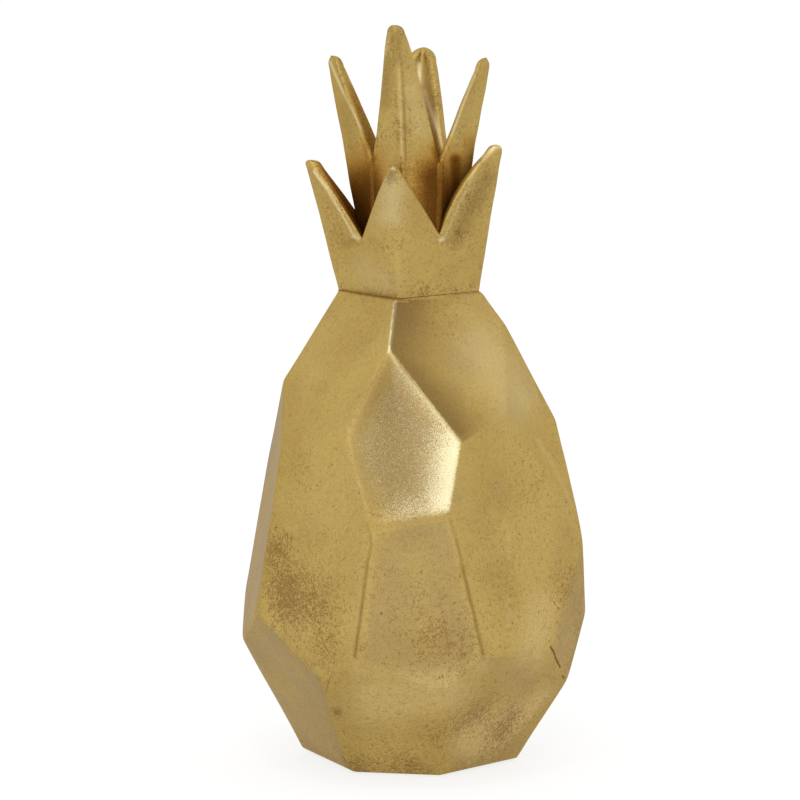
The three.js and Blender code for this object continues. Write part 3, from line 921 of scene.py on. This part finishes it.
def collar_piece():
    rim = collar_outline()
    angles, rim_heights = np.arctan2(rim[:, 1], rim[:, 0]), rim[:, 2]
    floor = fruit_high.z + COLLAR_FLOOR
    outline = collar_skin(angles, rim_heights[None], 0.0)[0]

    def wall(rows, lowest, inside):
        """The rings of the wall's outer or inner side, from the leaves' rounded edge down."""
        heights = rim_heights - np.linspace(0, 1, rows)[:, None] ** 1.8 * (rim_heights - lowest)
        face, lining = collar_skin(angles, heights, 0.0), collar_skin(angles, heights, COLLAR_WALL)
        centre = between(face, lining, RIM_CENTRE)
        full = round_end(from_outline(face, outline), COLLAR_WALL / 2 if inside else RIM_ROUNDING)
        return centre + ((lining if inside else face) - centre) * full[..., None]

    outer = dented(wall(COLLAR_ROWS, collar_foot + FOOT_EDGE, False), rim_heights)
    outer = np.concatenate([outer, outer[-1:] - (0, 0, FOOT_EDGE)])
    inner = wall(LINING_ROWS, floor, True)[:0:-1]
    radius, lowest = spigot()
    spigot_rings = [level_ring(angles, radius, height) for height in (collar_foot, lowest)]
    points, faces = tube(np.concatenate([inner, outer, spigot_rings]), (0, 0, floor), (0, 0, lowest))

    inside = np.arange(len(points)) < len(inner) * len(rim)
    height = points[:, 2] - fruit_high.z
    front = points[:, 1] < 0
    face = (1 - inside) * front
    left = bell(apart(np.arctan2(points[:, 1], points[:, 0]), -75), 45)
    # Stains, with more brown ground on the inside, where it is partly painted shade
    wear = 0.08 + 0.08 * swell(points, 14 * MM, 37) + inside * 0.25 + face * drawn(points, COLLAR_STAINS)
    looks = {
        "bole": wear + 0.12 * bell(height, 2.0 * MM),
        # Painted shade with dirt inside the collar, deepest low down and on the left
        "glaze_and_painted_shade": inside * (0.1 + 0.12 * left + 0.7 * smoothstep(48 * MM, 14 * MM, height)),
        # Painted shade along the collar's dent, crease and notch, on the front only
        "painted_shade_and_stain": face * drawn(points, COLLAR_PAINTED_SHADE),
        # Painted highlights, on the front only
        "painted_highlight": front * drawn(points, COLLAR_PAINTED_HIGHLIGHTS),
    }
    gilded("collar_skin", points, faces, looks, "crown_collar")


def felt_piece():
    """The felt: its CAD mesh, remeshed and smoothed, which rounds its edges off."""
    source = new_object("source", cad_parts["felt_pad"].data.copy())
    remesh = source.modifiers.new("remesh", "REMESH")
    remesh.mode = "VOXEL"
    remesh.voxel_size = FELT_VOXEL
    smooth = source.modifiers.new("smooth", "SMOOTH")
    smooth.iterations = 4
    graph = bpy.context.evaluated_depsgraph_get()
    mesh = bpy.data.meshes.new_from_object(source.evaluated_get(graph))
    bpy.data.objects.remove(source)
    points = mesh_points(mesh)
    share = (points - points.min(axis=0)) / np.ptp(points, axis=0)
    low, high = np.array(felt_low), np.array(felt_high)
    mesh.vertices.foreach_set("co", (low + share * (high - low)).ravel())
    mesh.update()
    new_piece("felt_sheet", mesh, "felt", "felt_pad")


# Materials
class Signal:
    """An output of a shader node; arithmetic on it adds Math nodes."""

    def __init__(self, tree, socket):
        self.tree, self.socket = tree, socket

    def __add__(self, other):
        return maths("ADD", self, other)

    def __sub__(self, other):
        return maths("SUBTRACT", self, other)

    def __rsub__(self, other):
        return maths("SUBTRACT", other, self)

    def __mul__(self, other):
        return maths("MULTIPLY", self, other)

    def __abs__(self):
        return maths("ABSOLUTE", self)


def feed(node, inputs):
    """Links each input of a node to a signal, or sets it to a value."""
    for key, value in inputs.items():
        if isinstance(value, Signal):
            value.tree.links.new(value.socket, node.inputs[key])
        else:
            node.inputs[key].default_value = value


def add(tree, kind, inputs=None, output=0, **settings):
    """One output of a new node, with its settings and inputs."""
    node = tree.nodes.new(kind)
    for key, value in settings.items():
        setattr(node, key, value)
    feed(node, inputs or {})
    return Signal(tree, node.outputs[output])


def new_material(name, looks):
    """A material whose surface has the inputs that looks makes in its node tree."""
    material = bpy.data.materials.new(name)
    material.use_nodes = True
    tree = material.node_tree
    feed(tree.nodes["Principled BSDF"], looks(tree))
    return material


def maths(operation, *values):
    tree = next(value.tree for value in values if isinstance(value, Signal))
    return add(tree, "ShaderNodeMath", dict(enumerate(values)), operation=operation)


def larger(a, b):
    return maths("MAXIMUM", a, b)


def noise(place, size, detail=3.0, roughness=0.55, distortion=0.0, output="Fac"):
    """Noise whose features are about that size, from 0 to 1."""
    inputs = {"Vector": place, "Scale": 1.0 / size, "Detail": detail, "Roughness": roughness}
    inputs["Distortion"] = distortion
    return add(place.tree, "ShaderNodeTexNoise", inputs, output)


def ramp(value, low, high, to_low=0.0, to_high=1.0):
    inputs = {"Value": value, "From Min": low, "From Max": high, "To Min": to_low, "To Max": to_high}
    return add(value.tree, "ShaderNodeMapRange", inputs, interpolation_type="SMOOTHSTEP")


def blend(share, a, b):
    return add(share.tree, "ShaderNodeMix", {0: share, 6: a, 7: b}, 2, data_type="RGBA")


def bump(height, distance, **normal):
    inputs = {"Height": height, "Distance": distance, "Strength": 1.0, **normal}
    return add(height.tree, "ShaderNodeBump", inputs)


def vector_maths(operation, a, b=(0.0, 0.0, 0.0), output=0):
    return add(a.tree, "ShaderNodeVectorMath", {0: a, 1: b}, output, operation=operation)


def place_on_object(tree):
    return add(tree, "ShaderNodeTexCoord", output="Object")


def axis_of(place, axis):
    return add(place.tree, "ShaderNodeSeparateXYZ", {"Vector": place}, axis)


# Colours of the leaf, what lies under it and what lies on it, and of its painted highlights, glints,
# reflections and shade
LEAF_YELLOW = (0.575, 0.42, 0.132, 1.0)
LEAF_DEEP = (0.51, 0.36, 0.104, 1.0)
DUST_AND_PAINTED_REFLECTION_GREY = (0.36, 0.262, 0.13, 1.0)
PALE_AND_PAINTED_LIGHT_GOLD = (0.65, 0.495, 0.2, 1.0)
PAINTED_HIGHLIGHT_GOLD = (0.93, 0.82, 0.52, 1.0)
PAINTED_GLINT_GOLD = (0.86, 0.775, 0.48, 1.0)
GROUND_BROWN = (0.26, 0.14, 0.034, 1.0)
SHADE_AND_STAIN_BROWN = (0.13, 0.063, 0.013, 1.0)
AMBER_GLAZE_AND_REFLECTION = (0.45, 0.215, 0.024, 1.0)
DEEP_BROWN = (0.13, 0.048, 0.006, 1.0)
SPECULAR_TINT = (0.75, 0.56, 0.26, 1.0)

# Dark and pale lines on the fruit: two pixels, the width in millimetres, and the strength. Dark: painted shade
# and dirt along the two side edges of the facet under the bright one, then scratches, pin spots and a crack.
# Pale: streaks and brush strokes on the right, and wider bands of painted light on the lower facets
DARK_LINES = [
    ((367, 524), (370, 534), 0.9, 0.16), ((370, 534), (371, 546), 0.9, 0.26),
    ((371, 546), (368, 562), 0.9, 0.3), ((368, 562), (355, 656), 0.9, 0.42),
    ((450, 519), (456, 540), 0.9, 0.2), ((456, 540), (463, 568), 0.9, 0.32),
    ((463, 568), (483, 654), 0.9, 0.42), ((551, 647), (560, 667), 0.5, 0.9),
    ((563, 676), (566, 681), 0.7, 0.8), ((357.5, 634), (356.5, 645), 0.5, 0.5),
    ((381, 613), (381.5, 614), 0.4, 0.9), ((330, 678), (326, 692), 0.3, 0.45),
]
PALE_STROKES_AND_PAINTED_LIGHT = [
    ((538, 440), (575, 508), 1.1, 0.55), ((548, 452), (560, 476), 0.9, 0.4),
    ((507, 520), (510, 560), 1.0, 0.4), ((508, 600), (509, 625), 1.3, 0.45),
    ((375, 700), (450, 690), 12, 0.8), ((470, 740), (545, 710), 11, 0.9),
    ((545, 605), (532, 655), 9, 0.75), ((358, 670), (440, 693), 4, 0.5),
    ((440, 693), (482, 664), 4, 0.5),
]


def hairs(place, turn):
    """Long thin wavy lines, from 0 to 1."""
    stretch = (1 / (0.5 * MM), 1 / (0.5 * MM), 1 / (7 * MM))
    along = add(place.tree, "ShaderNodeMapping", {"Vector": place, "Rotation": turn, "Scale": stretch})
    wave = noise(along, 1.0, 1.0, 0.5)
    return ramp(abs(wave - 0.5), 0.0, 0.03, 1.0, 0.0)


def drawn_lines(place, lines):
    """The lines, slightly shaken, from 0 to 1 on the fruit's front."""
    shaken = vector_maths("SUBTRACT", noise(place, 6 * MM, 3.0, 0.5, output="Color"), (0.5,) * 3)
    place = vector_maths("ADD", place, vector_maths("MULTIPLY", shaken, (0.8 * MM,) * 3))
    total = None
    for start, end, width, strength in lines:
        low, high = on_fruit(start)[0], on_fruit(end)[0]
        sight = np.array(pixel_ray(*start))
        along = high - low - sight * ((high - low) @ sight)
        length = np.linalg.norm(along)
        along /= length
        offset = vector_maths("SUBTRACT", place, tuple(low))
        reach = vector_maths("DOT_PRODUCT", offset, tuple(along), "Value")
        beside = vector_maths("DOT_PRODUCT", offset, tuple(np.cross(sight, along)), "Value")
        beyond = reach - maths("MINIMUM", larger(reach, 0.0), length)
        gap = add(place.tree, "ShaderNodeCombineXYZ", {"X": beyond, "Y": beside})
        gap = vector_maths("LENGTH", gap, output="Value")
        line = ramp(gap, 0.1 * (width * MM), width * MM, strength, 0.0)
        total = line if total is None else larger(total, line)
    return total * ramp(axis_of(place, "Y"), -8 * MM, -4 * MM, 1.0, 0.0)


def gold_leaf(tree):
    place = place_on_object(tree)
    bole, painted_shade_and_stain, glaze_and_painted_shade, dust_and_painted_reflection, painted_highlight, glint_amount = (
        add(tree, "ShaderNodeAttribute", output="Fac", attribute_name=name)
        for name in ("bole", "painted_shade_and_stain", "glaze_and_painted_shade", "dust_and_painted_reflection", "painted_highlight", "painted_glints")
    )
    drift = noise(place, 28 * MM, 3.0)
    cloud = noise(place, 6 * MM, 5.0, 0.65, 0.5)
    mottle = noise(place, 0.95 * MM, 3.0, 0.62, 1.6)
    fleck = noise(place, 0.32 * MM, 1.0)
    hair = larger(hairs(place, (0.3, 0.9, 0.2)), hairs(place, (1.9, -0.6, 1.0)))

    # Brown ground in the stains, and in the pores everywhere
    level = mottle + (bole + (cloud - 0.5) * 0.5) * 0.42 + hair * 0.08
    ground = larger(ramp(level, 0.6, 0.77, 0.0, 0.8), ramp(mottle, 0.3, 0.75, 0.0, 0.35))
    colour = blend(ramp(drift, 0.35, 0.65), LEAF_YELLOW, LEAF_DEEP)
    # Dust, and a painted reflection tone on some facets
    colour = blend(dust_and_painted_reflection, colour, DUST_AND_PAINTED_REFLECTION_GREY)
    # Pale strokes, and painted light on the lower facets
    colour = blend(drawn_lines(place, PALE_STROKES_AND_PAINTED_LIGHT), colour, PALE_AND_PAINTED_LIGHT_GOLD)
    colour = blend(ground, colour, GROUND_BROWN)

    # Painted highlights, painted glints in pale flecks, and painted shade with the leaves' stains
    colour = blend(painted_highlight, colour, PAINTED_HIGHLIGHT_GOLD)
    painted_glints = ramp(fleck + glint_amount * 0.55, 0.56, 0.92) * ramp(glint_amount, 0.0, 0.16)
    colour = blend(painted_glints, colour, PAINTED_GLINT_GOLD)
    colour = blend(painted_shade_and_stain, colour, SHADE_AND_STAIN_BROWN)

    # Amber glaze with painted light reflected between the gold leaves, brown where it is thick and the painted
    # shade deep
    glaze_and_painted_shade = glaze_and_painted_shade * ramp(mottle, 0.3, 0.7, 0.85, 1.08)
    glaze_and_shade = blend(ramp(glaze_and_painted_shade, 0.2, 0.95), AMBER_GLAZE_AND_REFLECTION, DEEP_BROWN)
    colour = blend(ramp(glaze_and_painted_shade, 0.0, 0.7), colour, glaze_and_shade)

    # The seam under the collar, and the dark lines: scratches and spots, and painted shade along two facet
    # edges
    seam = abs(axis_of(place, "Z") + (cloud - 0.5) * (1.0 * MM) - fruit_high.z)
    seam = ramp(seam, 0.05 * MM, 0.4 * MM, 0.35, 0.0) * ramp(mottle, 0.4, 0.6, 0.2, 1.0)
    colour = blend(larger(drawn_lines(place, DARK_LINES), seam), colour, DEEP_BROWN)

    waves = bump(cloud, 0.08 * MM)
    return {
        "Base Color": colour,
        "Metallic": ramp(ground, 0.0, 1.0, 0.85, 0.65) - dust_and_painted_reflection * 0.3,
        "Roughness": ramp(ground, 0.0, 1.0, 0.53, 0.68),
        "Specular Tint": SPECULAR_TINT,
        "Normal": bump(mottle, 0.05 * MM, Normal=waves),
        "Coat Normal": bump(fleck, 0.012 * MM, Normal=waves),
        "Coat Weight": ramp(glint_amount, 0.0, 0.3, 0.12, 0.4) * (1.0 - glaze_and_painted_shade),
        "Coat Roughness": 0.2,
    }


def bare_resin(tree):
    cloud = noise(place_on_object(tree), 3 * MM, 5.0)
    return {
        "Base Color": blend(cloud, (0.09, 0.05, 0.03, 1.0), (0.14, 0.085, 0.055, 1.0)),
        "Roughness": ramp(cloud, 0.3, 0.7, 0.6, 0.8),
        "Normal": bump(cloud, 0.05 * MM),
    }


def felt(tree):
    place = place_on_object(tree)
    fibre = noise(place, 0.5 * MM, 6.0, 0.7, 2.0)
    colour = blend(fibre, (0.012, 0.022, 0.014, 1.0), (0.04, 0.062, 0.045, 1.0))
    cloud = ramp(noise(place, 6 * MM, 3.0), 0.4, 0.7, 0.0, 0.35)
    return {
        "Base Color": blend(cloud, colour, (0.05, 0.07, 0.055, 1.0)),
        "Roughness": 0.95,
        "Sheen Weight": 0.4,
        "Normal": bump(fibre, 0.2 * MM),
    }


finishes = {looks.__name__: new_material(looks.__name__, looks) for looks in (gold_leaf, bare_resin, felt)}
fruit_piece()
collar_piece()
joint_piece()
for side in LEAF_AZIMUTHS:
    leaf_piece(side)
felt_piece()
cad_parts["base_plug"].material_slots[0].material = finishes["bare_resin"]

# The studio: its softboxes, as azimuth, elevation, sides and watts, its floor and its world
SOFTBOX_DISTANCE = 1.3
SOFTBOXES = {
    "key": (2, 34, (0.25, 0.6), 2.1),
    "ridge": (-13, 64, (0.2, 0.2), 1.5),
}
FLOOR_HALF = 6.0
FLOOR_COLOUR = (0.88, 0.88, 0.88, 1.0)
FLOOR_GLOW = 1.12
FLOOR_GLOW_SHARE = 0.7
WORLD_LIGHT, WORLD_SEEN = 0.85, 1.0
WHITE = (1.0, 1.0, 1.0, 1.0)

for name, (azimuth, elevation, sides, watts) in SOFTBOXES.items():
    light = bpy.data.lights.new(name, "AREA")
    light.shape = "RECTANGLE"
    light.size, light.size_y = sides
    light.energy = watts
    direction = heading(azimuth, elevation)
    put(new_object(name, light), TARGET + direction * SOFTBOX_DISTANCE, direction)


def seen_directly(tree):
    """1 for what the camera sees, also reflected or through glass, and 0 for other light."""
    path = tree.nodes.new("ShaderNodeLightPath").outputs
    kinds = "Camera", "Glossy", "Transmission"
    seen, reflected, through = (Signal(tree, path[f"Is {kind} Ray"]) for kind in kinds)
    return larger(seen, larger(reflected, through))


# The floor
corners = [(x * FLOOR_HALF, y * FLOOR_HALF, 0) for x, y in ((-1, -1), (1, -1), (1, 1), (-1, 1))]
mesh = bpy.data.meshes.new("floor")
mesh.from_pydata(corners, [], [(0, 1, 2, 3)])
floor = new_object("floor", mesh)
inputs = {"Base Color": FLOOR_COLOUR, "Roughness": 0.9, "Specular IOR Level": 0.0}
material = new_material("floor", lambda tree: inputs)
tree = material.node_tree
lit = Signal(tree, tree.nodes["Principled BSDF"].outputs[0])
glow = add(tree, "ShaderNodeEmission", {"Color": WHITE, "Strength": FLOOR_GLOW})
mixed = add(tree, "ShaderNodeMixShader", {0: seen_directly(tree) * FLOOR_GLOW_SHARE, 1: lit, 2: glow})
feed(tree.nodes["Material Output"], {"Surface": mixed})
mesh.materials.append(material)

# The world
world = bpy.data.worlds.new("studio")
bpy.context.scene.world = world
world.use_nodes = True
sky = world.node_tree
light_seen = {"Value": seen_directly(sky), "To Min": WORLD_LIGHT, "To Max": WORLD_SEEN}
strength = add(sky, "ShaderNodeMapRange", light_seen)
feed(sky.nodes["Background"], {"Color": WHITE, "Strength": strength})

bpy.context.scene.view_settings.view_transform = "Standard"
